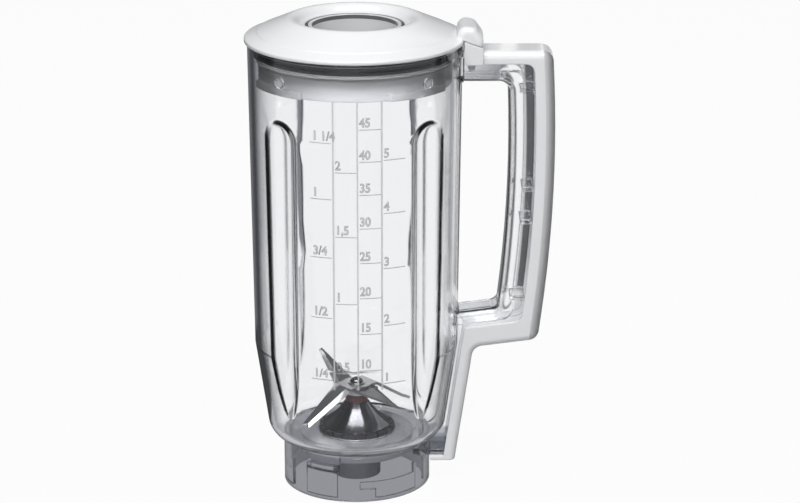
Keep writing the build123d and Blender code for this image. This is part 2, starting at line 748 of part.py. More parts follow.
def make_drive_shaft():
    shaft = disc(SHAFT_R, SHAFT_END_Z, BLADES_TOP_Z)
    waste = ring(SHAFT_R - RING_GROOVE, 2 * SHAFT_R, RING_Z, WASHER_Z)
    flats = Pos(0, 0, LOWER_BLADE_Z) * Box(
        4 * SHAFT_R, 2 * SHAFT_FLAT, 2 * BLADE_THICKNESS, align=(Align.CENTER, Align.CENTER, Align.MIN)
    )
    shaft -= disc(2 * SHAFT_R, LOWER_BLADE_Z, BLADES_TOP_Z) - flats
    return shaft - waste + disc(STUD_R, BLADES_TOP_Z, BLADES_TOP_Z + HUB_WASHER_THICKNESS + STUD_LENGTH)


def blade_arm(arm, low):
    """One arm: a tapered plate ground to an edge on its leading side, bent at its root."""
    root, tip = BLADE_ROOT_WIDTH / 2, arm.tip / 2
    blunt = [(0, -root), (arm.length, -tip), (arm.length, tip), (0, root)]
    nose = (arm.length - BEVEL_WIDTH / 2, tip - min(BEVEL_WIDTH, arm.tip) / 2)
    ground = [(0, -root), (arm.length, -tip), nose, (0, root - BEVEL_WIDTH)]
    base = -BLADE_THICKNESS / 2
    plate = Pos(0, 0, base) * extrude(Polygon(*blunt, align=None), EDGE_LEFT)
    lower = Pos(0, 0, base + EDGE_LEFT) * Polygon(*blunt, align=None)
    upper = Pos(0, 0, -base) * Polygon(*ground, align=None)
    plate += loft([lower, upper], ruled=True)
    plate += Rot(90, 0, 0) * Cylinder(-base, BLADE_ROOT_WIDTH)
    return Rot(0, 0, arm.azimuth) * Pos(BLADE_BEND_R, 0, low - base) * Rot(0, -arm.tilt, 0) * plate


def make_blade(arms, low):
    """A flat hub with bent arms and a keyed hole."""
    blade = disc(BLADE_HUB_R, low, low + BLADE_THICKNESS)
    for arm in arms:
        root = Box(
            BLADE_BEND_R, BLADE_ROOT_WIDTH, BLADE_THICKNESS, align=(Align.MIN, Align.CENTER, Align.MIN)
        )
        blade += Rot(0, 0, arm.azimuth) * Pos(0, 0, low) * root
        blade += blade_arm(arm, low)
    hole = Circle(SHAFT_R) & Rectangle(4 * SHAFT_R, 2 * SHAFT_FLAT)
    return blade - Pos(0, 0, low - BLADE_THICKNESS) * extrude(hole, 3 * BLADE_THICKNESS)


def make_hub_nut():
    base = BLADES_TOP_Z + HUB_WASHER_THICKNESS
    top = base + NUT_HEIGHT
    round_r = (NUT_R**2 + NUT_HEIGHT**2) / (2 * NUT_HEIGHT)
    nut = disc(NUT_R, base, top) & (Pos(0, 0, top - round_r) * Sphere(round_r))
    return nut - disc(STUD_R, base, base + STUD_LENGTH)


def make_drive_coupling():
    """Splined cup that the machine's drive turns."""
    coupling = disc(COUPLING_R, COUPLING_END_Z, COUPLING_TOP_Z)
    socket = disc(SOCKET_R, COUPLING_END_Z, SHAFT_END_Z)
    slot = Pos(SOCKET_R, 0, COUPLING_END_Z) * Box(
        2 * SPLINE_DEPTH, SPLINE_WIDTH, SOCKET_DEPTH, align=(Align.CENTER, Align.CENTER, Align.MIN)
    )
    slots = [Rot(0, 0, turn) * slot for turn in spread(SPLINE_COUNT)]
    return coupling - socket - slots - disc(SHAFT_R, SHAFT_END_Z, COUPLING_TOP_Z)


PIECES = {
    "jar_body": make_jar_body(),
    "handle_cover": make_handle_cover(),
    "lid": make_lid(),
    "lid_seal": make_lid_seal(),
    "filler_cup": make_filler_cup(),
    "blade_carrier": make_blade_carrier(),
    "carrier_seal": make_carrier_seal(),
    "bearing_dome": make_bearing_dome(),
    "shaft_seal": ring(SHAFT_R + RUNNING_GAP, SHAFT_SEAL_R, DOME_TOP_Z, SEAL_TOP_Z),
    "upper_bush": bush(DOME_TOP_Z - BUSH_LENGTH),
    "lower_bush": bush(FLANGE_Z),
    "drive_shaft": make_drive_shaft(),
    "blade_collar": ring(SHAFT_R, COLLAR_R, COLLAR_Z, LOWER_BLADE_Z),
    "lower_blade": make_blade(LOWER_ARMS, LOWER_BLADE_Z),
    "upper_blade": make_blade(UPPER_ARMS, UPPER_BLADE_Z),
    "hub_washer": ring(STUD_R, HUB_WASHER_R, BLADES_TOP_Z, BLADES_TOP_Z + HUB_WASHER_THICKNESS),
    "hub_nut": make_hub_nut(),
    "thrust_washer": ring(SHAFT_R, WASHER_R, WASHER_Z, WASHER_Z + WASHER_THICKNESS),
    "retaining_ring": ring(SHAFT_R - RING_GROOVE, RING_R, RING_Z, WASHER_Z),
    "drive_coupling": make_drive_coupling(),
}

os.makedirs("parts", exist_ok=True)
for node, shape in PIECES.items():
    export_step(shape, f"parts/{node}.step")
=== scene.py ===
import math

import bmesh
import bpy
from bpy.props import FloatProperty, FloatVectorProperty, PointerProperty
from mathutils import Matrix, Vector
from mathutils.bvhtree import BVHTree


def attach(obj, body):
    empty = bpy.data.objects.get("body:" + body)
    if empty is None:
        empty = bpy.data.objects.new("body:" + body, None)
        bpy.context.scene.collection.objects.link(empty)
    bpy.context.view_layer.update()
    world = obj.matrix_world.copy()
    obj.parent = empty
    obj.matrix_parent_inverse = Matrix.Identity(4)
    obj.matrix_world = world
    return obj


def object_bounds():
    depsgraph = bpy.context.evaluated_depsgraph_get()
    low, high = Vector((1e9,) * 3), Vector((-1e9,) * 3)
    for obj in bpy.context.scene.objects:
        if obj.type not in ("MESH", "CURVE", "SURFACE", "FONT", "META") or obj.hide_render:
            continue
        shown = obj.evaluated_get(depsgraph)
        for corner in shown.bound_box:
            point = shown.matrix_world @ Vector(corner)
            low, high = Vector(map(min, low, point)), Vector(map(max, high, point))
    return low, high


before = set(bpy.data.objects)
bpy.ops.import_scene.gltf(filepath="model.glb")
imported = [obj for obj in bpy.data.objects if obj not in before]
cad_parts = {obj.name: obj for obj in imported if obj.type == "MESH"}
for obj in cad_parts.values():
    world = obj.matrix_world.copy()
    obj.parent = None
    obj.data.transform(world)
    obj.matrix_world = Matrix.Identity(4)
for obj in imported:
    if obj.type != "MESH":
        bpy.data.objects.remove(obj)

bl_info = {
    "name": "Blender Jar",
    "version": (1, 0, 0),
    "blender": (4, 5, 0),
    "location": "3D View > Sidebar > Jar",
    "description": "Finishes, measuring scale and studio for a clear blender jar",
    "category": "Object",
}

CAD_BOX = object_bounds()
MM = 0.001
UP = (0.0, 0.0, 1.0)
WHITE = (1.0, 1.0, 1.0)
BLACK = (0.0, 0.0, 0.0)

# A scale is noise cells to a metre, a relief is a strength and a depth, and a shade is a share of a colour

# Clear and smoky plastic
PLASTIC_IOR = 1.49
HAZE_SCALE = 900.0
CLEAR_ROUGHNESS = 0.005
CLEAR_HAZE = 0.01
GRAZE_POWER = 3.0
FLOW_SCALE = 45.0
FLOW_RELIEF = (0.015, 0.6 * MM)
BASE_FADE = 2.0 * MM
SMOKY_ROUGHNESS = 0.06
SMOKY_HAZE = 0.06
SMOKY_CLEARNESS = 0.3
RIM_FADE = 0.3 * MM
STRIPE_DROP = 1.2 * MM
STRIPE_HALF = 0.9 * MM
STRIPE_FADE = 0.2 * MM
STRIPE_SHARE = 0.9

# Moulded plastic
EDGE_ROUND = 1.0 * MM
EDGE_SAMPLES = 4
CREASE = 0.68
SKIN_RELIEF = (0.05, 0.1 * MM)
SKIN_ROUGHNESS = 0.06
CLOUD_SCALE = 25.0
CLOUD_SHADE = 0.94
COAT_ROUGHNESS = 0.08
MATT_SCALE = 2500.0
MATT_ROUGHNESS = 0.08
TONE_FADE = 0.5 * MM

# Rubber
RUBBER_ROUGHNESS = 0.34
RUBBER_SCALE = 1500.0
RUBBER_RELIEF = (0.15, 0.1 * MM)
BLOOM_SCALE = 60.0
BLOOM_SHADE = 1.5
BLOOM_ROUGHNESS = 0.15
LIP_HALF = 0.7 * MM
LIP_RELIEF = (1.0, LIP_HALF)

# Steel
RING_SCALE = 6000.0
RING_RELIEF = (0.05, 0.05 * MM)
RING_SHADE = 0.8
RING_ROUGHNESS = 0.06
SCRATCH_SCALES = (900.0, 5000.0, 900.0)
SCRATCH_RELIEF = (0.06, 0.05 * MM)
SCRATCH_SHADE = 0.75
SCRATCH_ROUGHNESS = 0.1
BEVEL_STARTS = (0.12, 0.2)
BEVEL_ENDS = (0.6, 0.7)
BEVEL_ROUGHNESS = 0.2

# Measuring marks
MARK_ROUGHNESS = 0.5
MARK_ALPHA = 0.5
MARK_SPECKLE = 0.3


# Shader expressions

class Term:
    """A shader socket that takes part in Python expressions."""

    def __init__(self, finish, socket):
        self.finish = finish
        self.socket = socket

    def maths(self, operation, first, second):
        return self.finish.node("ShaderNodeMath", {"operation": operation}, {0: first, 1: second})

    def __add__(self, other):
        return self.maths("ADD", self, other)

    def __radd__(self, other):
        return self.maths("ADD", other, self)

    def __sub__(self, other):
        return self.maths("SUBTRACT", self, other)

    def __rsub__(self, other):
        return self.maths("SUBTRACT", other, self)

    def __mul__(self, other):
        return self.maths("MULTIPLY", self, other)

    def __rmul__(self, other):
        return self.maths("MULTIPLY", other, self)

    def __pow__(self, other):
        return self.maths("POWER", self, other)

    def __rpow__(self, other):
        return self.maths("POWER", other, self)

    def __abs__(self):
        return self.maths("ABSOLUTE", self, 0.0)


class Finish:
    """The node tree of one material or world, built from expressions."""

    def __init__(self, tree):
        self.tree = tree
        tree.nodes.clear()

    def node(self, kind, settings=None, sockets=None, output=0):
        """Adds a node: its settings first, then the values or links of its sockets."""
        made = self.tree.nodes.new(kind)
        for name, value in (settings or {}).items():
            setattr(made, name, value)
        for name, value in (sockets or {}).items():
            if isinstance(value, Term):
                self.tree.links.new(value.socket, made.inputs[name])
            else:
                made.inputs[name].default_value = value
        return Term(self, made.outputs[output]) if made.outputs else made

    def outputs(self, kind, names, sockets=None):
        """Adds a node and gives several of its outputs."""
        made = self.node(kind, None, sockets).socket.node
        return [Term(self, made.outputs[name]) for name in names]

    def axes(self, vector):
        return self.outputs("ShaderNodeSeparateXYZ", ("X", "Y", "Z"), {0: vector})

    def rays(self, *kinds):
        """What the light path says of a ray."""
        return self.outputs("ShaderNodeLightPath", kinds)

    def place(self, output="Object"):
        return self.node("ShaderNodeTexCoord", output=output)

    def facing(self):
        """0 where a surface faces the ray, 1 where the ray grazes it."""
        return self.node("ShaderNodeLayerWeight", None, {"Blend": 0.5}, "Facing")

    def mix(self, factor, first, second):
        """One colour turning into another as the factor goes from 0 to 1."""
        sockets = {"Factor": factor, 6: first, 7: second}
        return self.node("ShaderNodeMix", {"data_type": "RGBA"}, sockets, 2)

    def clamp(self, value):
        return self.node("ShaderNodeClamp", None, {"Value": value})

    def span(self, value, low, high, smooth=True):
        """0 below low, 1 above high, and a ramp between them."""
        kind = "SMOOTHSTEP" if smooth else "LINEAR"
        sockets = {"Value": value, "From Min": low, "From Max": high}
        return self.node("ShaderNodeMapRange", {"interpolation_type": kind}, sockets)

    def band(self, value, middle, half, soft):
        """1 within a half width of the middle, falling to 0 over a soft border."""
        return 1.0 - self.span(abs(value - middle), half, half + soft)

    def vector(self, operation, first, second=(0.0, 0.0, 0.0), output=0):
        return self.node("ShaderNodeVectorMath", {"operation": operation}, {0: first, 1: second}, output)

    def noise(self, vector, scale, detail=3.0):
        return self.node("ShaderNodeTexNoise", None, {"Vector": vector, "Scale": scale, "Detail": detail})

    def edges(self):
        """A normal that rounds off sharp edges."""
        return self.node("ShaderNodeBevel", {"samples": EDGE_SAMPLES}, {"Radius": EDGE_ROUND})

    def bump(self, height, relief, normal=None):
        """Fine relief, on a normal that is already bent if one is given."""
        strength, depth = relief
        sockets = {"Height": height, "Strength": strength, "Distance": depth}
        if normal is not None:
            sockets["Normal"] = normal
        return self.node("ShaderNodeBump", None, sockets)

    def surface(self, shader):
        self.node("ShaderNodeOutputMaterial", None, {"Surface": shader})

    def principled(self, sockets):
        self.surface(self.node("ShaderNodeBsdfPrincipled", None, sockets))


def new_finish(name):
    material = bpy.data.materials.new(name)
    material.use_nodes = True
    return material, Finish(material.node_tree)


def rgb(colour):
    return (*colour, 1.0)


def shaded(colour, share):
    """A darker colour, or a paler one where the share is over 1."""
    return rgb([channel * share for channel in colour])


def from_axis(x, y):
    """Distance from the jar's axis."""
    return (x * x + y * y) ** 0.5


def bowed(across, up, height, radius):
    """Distance across, straightened along an arc that is farthest out at a height."""
    above = up - height
    return across + above * above * (0.5 / radius)


# Finishes

def clear_plastic(name, tint, edge, base, base_height):
    """Clear moulded plastic, darker where the eye grazes the wall, and painted darker in the base ring as
    painted shade.
    """
    material, finish = new_finish(name)
    place = finish.place()
    height = finish.axes(place)[2]
    flow = finish.noise(place, FLOW_SCALE, 1.0)
    haze = finish.noise(place, HAZE_SCALE, 2.0)
    # Painted shade: below the base height the plastic is painted darker, standing in for the shade inside the
    # base ring
    above = finish.span(height, base_height - BASE_FADE, base_height)
    through = finish.mix(above, rgb(base), rgb(tint))
    finish.principled({
        "Base Color": finish.mix(finish.facing() ** GRAZE_POWER, through, rgb(edge)),
        "Roughness": CLEAR_ROUGHNESS + CLEAR_HAZE * haze,
        "IOR": PLASTIC_IOR,
        "Transmission Weight": 1.0,
        "Normal": finish.bump(flow, FLOW_RELIEF, finish.edges()),
    })
    return material


def smoky_plastic(name, tint, rim, rim_radius, top):
    """Milky clear plastic with a dark rim and a dark stripe inside it."""
    material, finish = new_finish(name)
    place = finish.place()
    x, y, height = finish.axes(place)
    haze = finish.noise(place, HAZE_SCALE, 2.0)
    outside = finish.span(from_axis(x, y), rim_radius - RIM_FADE, rim_radius)
    stripe = finish.band(height, top - STRIPE_DROP, STRIPE_HALF, STRIPE_FADE)
    dark = finish.clamp(outside + STRIPE_SHARE * stripe)
    finish.principled({
        "Base Color": finish.mix(dark, rgb(tint), rgb(rim)),
        "Roughness": SMOKY_ROUGHNESS + SMOKY_HAZE * haze,
        "IOR": PLASTIC_IOR,
        "Transmission Weight": SMOKY_CLEARNESS,
    })
    return material


def crowned(finish, place, sizes, normal):
    """A normal that turns outwards past a crease along the handle cover's bowed outer edge."""
    x, _, z = finish.axes(place)
    across = bowed(x, z, sizes.crown_height, sizes.crown_bow)
    out = finish.span(across, sizes.crown_reach - sizes.crown_width, sizes.crown_reach, smooth=False)
    profile = 1.0 - out * (CREASE + (1.0 - CREASE) * out)
    return finish.bump(profile, (1.0, sizes.crown_drop), normal)


def moulded_plastic(name, colour, roughness, grain, coat=0.0, crown=None):
    """Opaque moulded plastic with a fine skin and softened edges, crowned if it is given the sizes."""
    material, finish = new_finish(name)
    place = finish.place()
    normal = finish.edges()
    if crown is not None:
        normal = crowned(finish, place, crown, normal)
    skin = finish.noise(place, grain)
    cloud = finish.noise(place, CLOUD_SCALE)
    finish.principled({
        "Base Color": finish.mix(cloud, shaded(colour, CLOUD_SHADE), rgb(colour)),
        "Roughness": roughness + SKIN_ROUGHNESS * skin,
        "Coat Weight": coat,
        "Coat Roughness": COAT_ROUGHNESS,
        "Normal": finish.bump(skin, SKIN_RELIEF, normal),
    })
    return material


def two_tone_plastic(name, upper, lower, height, roughness):
    """Matt plastic in one colour above a height and another below it, the split being painted light and
    shade.
    """
    material, finish = new_finish(name)
    place = finish.place()
    skin = finish.noise(place, MATT_SCALE)
    above = finish.span(finish.axes(place)[2], height, height + TONE_FADE)
    finish.principled({
        "Base Color": finish.mix(above, rgb(lower), rgb(upper)),
        "Roughness": roughness + MATT_ROUGHNESS * skin,
        "Normal": finish.bump(skin, SKIN_RELIEF),
    })
    return material


def rubber(name, colour, roughness=RUBBER_ROUGHNESS, lips=()):
    """Moulded rubber with a pale bloom, and with raised lips at the heights given, each painted white along
    its band as a painted highlight.
    """
    material, finish = new_finish(name)
    place = finish.place()
    height = finish.axes(place)[2]
    grain = finish.noise(place, RUBBER_SCALE)
    bloom = finish.noise(place, BLOOM_SCALE)
    base = finish.mix(bloom, rgb(colour), shaded(colour, BLOOM_SHADE))
    normal = None
    for lip in lips:
        rise = finish.band(height, lip, 0.0, LIP_HALF)
        normal = finish.bump(rise, LIP_RELIEF, normal)
        # Painted highlight: each lip's band is painted white where light would catch the lip
        base = finish.mix(rise, base, rgb(WHITE))
    finish.principled({
        "Base Color": base,
        "Roughness": roughness + BLOOM_ROUGHNESS * bloom,
        "Normal": finish.bump(grain, RUBBER_RELIEF, normal),
    })
    return material


def turned_steel(name, colour, roughness):
    """Steel turned on a lathe, with fine rings about its axis."""
    material, finish = new_finish(name)
    x, y, z = finish.axes(finish.place())
    rings = finish.node("ShaderNodeTexNoise", {"noise_dimensions": "1D"},
                        {"W": from_axis(x, y) + z, "Scale": RING_SCALE, "Detail": 2.0})
    finish.principled({
        "Base Color": finish.mix(rings, shaded(colour, RING_SHADE), rgb(colour)),
        "Roughness": roughness + RING_ROUGHNESS * rings,
        "Metallic": 1.0,
        "Normal": finish.bump(rings, RING_RELIEF),
    })
    return material


def ground_steel(name, flat, ground, roughness):
    """Blade steel: satin on the flats, and another tone where the leading edge is ground; this tone is partly
    real grinding and partly painted light.
    """
    material, finish = new_finish(name)
    place = finish.place()
    around = finish.vector("NORMALIZE", finish.vector("CROSS_PRODUCT", UP, place))
    lean = finish.vector("DOT_PRODUCT", around, finish.place("Normal"), "Value")
    edge = finish.span(lean, *BEVEL_STARTS) - finish.span(lean, *BEVEL_ENDS)
    scratches = finish.noise(finish.vector("MULTIPLY", place, SCRATCH_SCALES), 1.0, 2.0)
    satin = finish.mix(scratches, shaded(flat, SCRATCH_SHADE), rgb(flat))
    finish.principled({
        # The ground edge's tone is partly painted light: a painted highlight on the upper blade, painted
        # shade on the lower
        "Base Color": finish.mix(edge, satin, rgb(ground)),
        "Roughness": roughness + SCRATCH_ROUGHNESS * scratches + BEVEL_ROUGHNESS * edge,
        "Metallic": 1.0,
        "Normal": finish.bump(scratches, SCRATCH_RELIEF),
    })
    return material


def frosted_marks(name, colour):
    """Matt raised marks on clear plastic."""
    material, finish = new_finish(name)
    speckle = finish.noise(finish.place(), MATT_SCALE)
    finish.principled({
        "Base Color": rgb(colour),
        "Roughness": MARK_ROUGHNESS,
        "Alpha": MARK_ALPHA + MARK_SPECKLE * speckle,
    })
    return material


def dress(material, *nodes):
    """Gives CAD pieces their finish."""
    for node in nodes:
        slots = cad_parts[node].data.materials
        slots.clear()
        slots.append(material)


# Settings

def colour_setting(name, description, default):
    return FloatVectorProperty(name=name, description=description, default=default,
                               subtype="COLOR", size=3, min=0.0, max=1.0)


def length_setting(name, description, millimetres):
    return FloatProperty(name=name, description=description, default=millimetres * MM,
                         subtype="DISTANCE", unit="LENGTH")


def share_setting(name, description, default):
    return FloatProperty(name=name, description=description, default=default,
                         subtype="FACTOR", min=0.0, max=1.0)


def power_setting(name, description, watts):
    return FloatProperty(name=name, description=description, default=watts, unit="POWER")


class JarFinishes(bpy.types.PropertyGroup):
    """Colours of the jar's materials, and the places where they change."""

    clear: colour_setting("Clear plastic", "Tint looking straight through the wall", (0.965, 0.97, 0.98))
    clear_edge: colour_setting("Clear edge", "Tint where the eye grazes the wall", (0.6, 0.61, 0.64))
    # Painted shade: the base ring's colour stands in for the shade inside the ring
    clear_base: colour_setting("Clear base", "Tint of the base ring", (0.48, 0.49, 0.52))
    smoky: colour_setting("Filler cup", "Tint of the filler cup", (0.9, 0.905, 0.92))
    smoky_rim: colour_setting("Filler cup rim", "Tint of the filler cup's rim", (0.1, 0.1, 0.11))
    white: colour_setting("White plastic", "Lid and handle cover", (0.84, 0.845, 0.86))
    # Painted light: the carrier is one plastic, painted lighter below the base ring's height against the
    # shade it stands in there; its toothed top is darker
    carrier: colour_setting("Carrier", "Plastic of the blade carrier", (0.45, 0.455, 0.47))
    carrier_top: colour_setting("Carrier top", "Toothed top of the blade carrier", (0.02, 0.021, 0.025))
    coupling: colour_setting("Coupling", "Plastic of the drive coupling", (0.06, 0.06, 0.065))
    seal: colour_setting("Lid seal", "Rubber of the lid's seal", (0.012, 0.012, 0.014))
    pale_seal: colour_setting("Carrier seal", "Silicone under the floor", (0.26, 0.265, 0.28))
    shaft_seal: colour_setting("Shaft seal", "Rubber under the blades", (0.07, 0.022, 0.02))
    # Painted shade: far darker than polished steel, so that the dome and the hub nut reflect dark
    dome: colour_setting("Dome steel", "Polished steel under the blades", (0.24, 0.24, 0.255))
    blade: colour_setting("Blade steel", "Satin flats of the upper blade", (0.5, 0.5, 0.51))
    # Painted shade: the lower blade is the same steel as the upper, painted darker on its flats and on its
    # ground edges
    lower_blade: colour_setting("Lower blade", "Satin flats of the lower blade", (0.28, 0.28, 0.29))
    # Partly painted highlight: ground edges are brighter than the flats, but this near-white colour also
    # paints in the light they catch
    ground: colour_setting("Ground edge", "Ground edges of the upper blade", (0.95, 0.95, 0.95))
    worn: colour_setting("Lower ground shade", "Ground edges of the lower blade", (0.16, 0.16, 0.165))
    bush: colour_setting("Bush", "Sintered bush metal", (0.55, 0.38, 0.2))
    marks: colour_setting("Marks", "Raised measuring marks and numbers", (0.5, 0.505, 0.52))
    lines: colour_setting("Lines", "Raised upright lines of the scale", (0.72, 0.725, 0.74))
    crown_reach: length_setting("Cover reach", "Outer edge of the handle cover, from the jar's axis", 103.1)
    crown_height: length_setting("Cover height", "Height at which the cover reaches farthest out", 185.0)
    crown_bow: length_setting("Cover bow", "Radius of the cover's outer edge", 728.0)
    crown_width: length_setting("Cover crown", "Width over which the cover falls off to its outer edge", 5.0)
    crown_drop: length_setting("Cover drop", "How far the cover falls off to its outer edge", 4.75)
    # The lid seal is painted white along both lips, as a painted highlight
    upper_lip: length_setting("Upper lip", "Height of the lid seal's upper lip", 237.4)
    lower_lip: length_setting("Lower lip", "Height of the lid seal's lower lip", 232.6)
    cup_top: length_setting("Cup top", "Height of the filler cup's upper edge", 247.7)
    # Below this height the base ring is painted darker as painted shade, and the carrier changes colour
    base_height: length_setting("Base height", "Upper end of the smoky base ring", 26.0)
    rim_radius: length_setting("Cup rim radius", "Where the filler cup's rim starts", 24.0)


class ScaleSizes(bpy.types.PropertyGroup):
    """Sizes of the raised measuring scale on the front of the jar."""

    line_pitch: length_setting("Line pitch", "Between the upright lines", 12.2)
    line_middle: length_setting("Middle line", "Place of the middle line across the jar", 1.8)
    line_low: length_setting("Line foot", "Height of the lines' lower ends", 67.3)
    line_high: length_setting("Line head", "Height of the lines' upper ends", 221.0)
    line_width: length_setting("Line width", "Width of the upright lines", 0.85)
    tick_length: length_setting("Tick length", "Length of a mark", 10.7)
    tick_width: length_setting("Tick width", "Width of a mark", 0.4)
    tick_gap: length_setting("Tick gap", "Between a line and a mark", 1.0)
    proud: length_setting("Raised by", "How far the marks stand out of the wall", 0.2)
    digit_height: length_setting("Digit height", "Height of the numbers", 4.9)
    digit_lift: length_setting("Digit lift", "From a mark up to its number", 1.5)
    litre_inset: length_setting("Litre inset", "From the start of a litre mark to its number", 1.2)
    digit_line: length_setting("Digit line", "Half width of the numbers' outlines", 0.24)
    quarter_litre: length_setting("Quarter litre", "Height of the quarter litre mark", 72.8)
    litre: length_setting("Litre", "Height of one litre at the quarter litre mark", 138.6)
    widening: length_setting("Widening", "Height saved by the jar's widening, per litre squared", 12.1)


class GripSizes(bpy.types.PropertyGroup):
    """Sizes of the clip ribs in the handle's recess."""

    gap_middle: length_setting("Gap middle", "Middle of the finger gap, from the jar's axis", 65.0)
    rib_low: length_setting("Lower rib", "Height of the lower rib", 144.8)
    rib_high: length_setting("Upper rib", "Height of the upper rib", 162.4)
    rib_thickness: length_setting("Rib thickness", "Thickness of a rib", 1.8)
    rib_half: length_setting("Rib width", "Half width of a rib", 10.8)
    rib_inset: length_setting("Rib inset", "From the hand strip's face to a rib", 7.0)
    rib_reach: length_setting("Rib reach", "Length of a rib", 6.2)


class StageSettings(bpy.types.PropertyGroup):
    """Camera, lamps, floor, card, scrim and room."""

    camera_x: length_setting("Camera across", "Camera's place across the jar", 23.1)
    camera_y: length_setting("Camera back", "Camera's place in front of the jar", -1411.0)
    camera_z: length_setting("Camera height", "Camera's height", 578.7)
    camera_pitch: FloatProperty(name="Camera pitch", description="Downward tilt of the camera",
                                default=math.radians(17.8), subtype="ANGLE", unit="ROTATION")
    lens: FloatProperty(name="Lens", description="Focal length", default=127.2, unit="CAMERA")
    key_power: power_setting("Key", "Power of the overhead lamp", 50.5)
    fill_power: power_setting("Fill", "Power of the front lamp", 16.0)
    floor: colour_setting("Floor", "Colour of the floor", (0.45, 0.45, 0.455))
    floor_mirrored: colour_setting("Floor in reflections", "Floor seen in gloss", (0.22, 0.223, 0.23))
    floor_through: colour_setting("Floor through plastic", "Floor seen through the jar", (0.6, 0.605, 0.62))
    shadow: share_setting("Shadow", "Share of the floor that takes shadow", 0.04)
    card_back: length_setting("Card back", "Bright card's place behind the jar", 62.0)
    card_middle: length_setting("Card middle", "Bright card's middle across the jar", -2.0)
    card_bright: length_setting("Card bright", "Half width of the card's white middle", 44.0)
    card_fade: length_setting("Card fade", "Width over which the card goes dark", 41.0)
    card_white: colour_setting("Card white", "Middle of the card", WHITE)
    card_grey: colour_setting("Card grey", "Sides of the card", (0.2, 0.205, 0.22))
    card_dark: colour_setting("Card dark", "Far sides of the card, and its foot in gloss",
                              (0.06, 0.061, 0.066))
    card_low: length_setting("Card low", "Height up to which gloss shows the card dark", 66.0)
    card_far: length_setting("Card far", "From the card's middle to its far sides", 84.0)
    strip_across: length_setting("Strip across", "White strip behind the grip, from the card's middle", 88.2)
    strip_height: length_setting("Strip height", "Height at which the strip is farthest out", 165.0)
    strip_bow: length_setting("Strip bow", "Radius of the strip", 728.0)
    strip_half: length_setting("Strip width", "Half width of the strip", 3.0)
    side_across: length_setting("Side across", "White strip outside the grip, from the card's middle", 118.0)
    side_half: length_setting("Side width", "Half width of the strip outside the grip", 16.0)
    glow_height: length_setting("Glow height", "Height of the white that the blades mirror", 80.0)
    glow_half: length_setting("Glow size", "Half size of the white that the blades mirror", 20.0)
    arm_across: length_setting("Arm across", "White patch behind the lower arm, from the card's middle", 80.0)
    arm_height: length_setting("Arm height", "Height of the patch behind the lower arm", 69.0)
    arm_half: length_setting("Arm width", "Half width of the patch behind the lower arm", 20.0)
    arm_rise: length_setting("Arm rise", "Half height of the patch behind the lower arm", 12.0)
    scrim_radius: length_setting("Scrim radius", "Radius of the scrim round the lid's skirt", 52.2)
    scrim_foot: length_setting("Scrim foot", "Height of the scrim's lower end", 219.0)
    scrim_low: length_setting("Scrim low", "Height up to which the scrim lets light through", 225.5)
    scrim_dark: length_setting("Scrim dark", "Height from which the scrim is dark", 231.0)
    scrim_high: length_setting("Scrim high", "Height of the scrim's upper end", 232.0)
    scrim_middle: length_setting("Scrim middle", "Half width of the scrim's clear middle", 10.0)
    scrim_side: length_setting("Scrim side", "From the middle to where the scrim's sides are darkest", 46.0)
    ambient: share_setting("Ambient", "Strength of the room light", 0.45)
    ceiling: colour_setting("Ceiling", "Colour of the room overhead", (0.14, 0.144, 0.155))
    pale_wall: colour_setting("Pale wall", "Colour of the room away from the handle", (0.5, 0.505, 0.52))
    dark_wall: colour_setting("Dark wall", "Colour of the room on the handle's side", (0.12, 0.122, 0.13))


SETTINGS = {
    "jar_finishes": JarFinishes,
    "jar_grip": GripSizes,
    "jar_scale": ScaleSizes,
    "jar_stage": StageSettings,
}


# Operators

class JAR_OT_clear_jar(bpy.types.Operator):
    """Gives the jar its clear plastic"""

    bl_idname = "jar.clear_jar"
    bl_label = "Clear jar"

    def execute(self, context):
        colours = context.scene.jar_finishes
        # The base ring's darker colour is painted shade
        plastic = clear_plastic("clear_plastic", colours.clear, colours.clear_edge,
                                colours.clear_base, colours.base_height)
        dress(plastic, "jar_body")
        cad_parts["jar_body"].visible_shadow = False
        return {"FINISHED"}


class JAR_OT_white_parts(bpy.types.Operator):
    """Gives the lid and the handle cover their white plastic"""

    bl_idname = "jar.white_parts"
    bl_label = "Lid and handle cover"

    ROUGHNESS = 0.22
    GRAIN = 1200.0
    COAT = 0.3

    def execute(self, context):
        colours = context.scene.jar_finishes
        skin = (colours.white, self.ROUGHNESS, self.GRAIN, self.COAT)
        dress(moulded_plastic("white_plastic", *skin), "lid")
        dress(moulded_plastic("cover_plastic", *skin, crown=colours), "handle_cover")
        return {"FINISHED"}


class JAR_OT_seals(bpy.types.Operator):
    """Gives the seals their rubber"""

    bl_idname = "jar.seals"
    bl_label = "Seals"

    GLOSSY_ROUGHNESS = 0.12

    def execute(self, context):
        colours = context.scene.jar_finishes
        lips = (colours.upper_lip, colours.lower_lip)
        dress(rubber("seal_rubber", colours.seal, self.GLOSSY_ROUGHNESS, lips), "lid_seal")
        dress(rubber("silicone", colours.pale_seal), "carrier_seal")
        dress(rubber("shaft_seal_rubber", colours.shaft_seal), "shaft_seal")
        return {"FINISHED"}


class JAR_OT_filler_cup(bpy.types.Operator):
    """Gives the filler cup its smoky plastic"""

    bl_idname = "jar.filler_cup"
    bl_label = "Filler cup"

    def execute(self, context):
        colours = context.scene.jar_finishes
        plastic = smoky_plastic("smoky_plastic", colours.smoky, colours.smoky_rim,
                                colours.rim_radius, colours.cup_top)
        dress(plastic, "filler_cup")
        return {"FINISHED"}


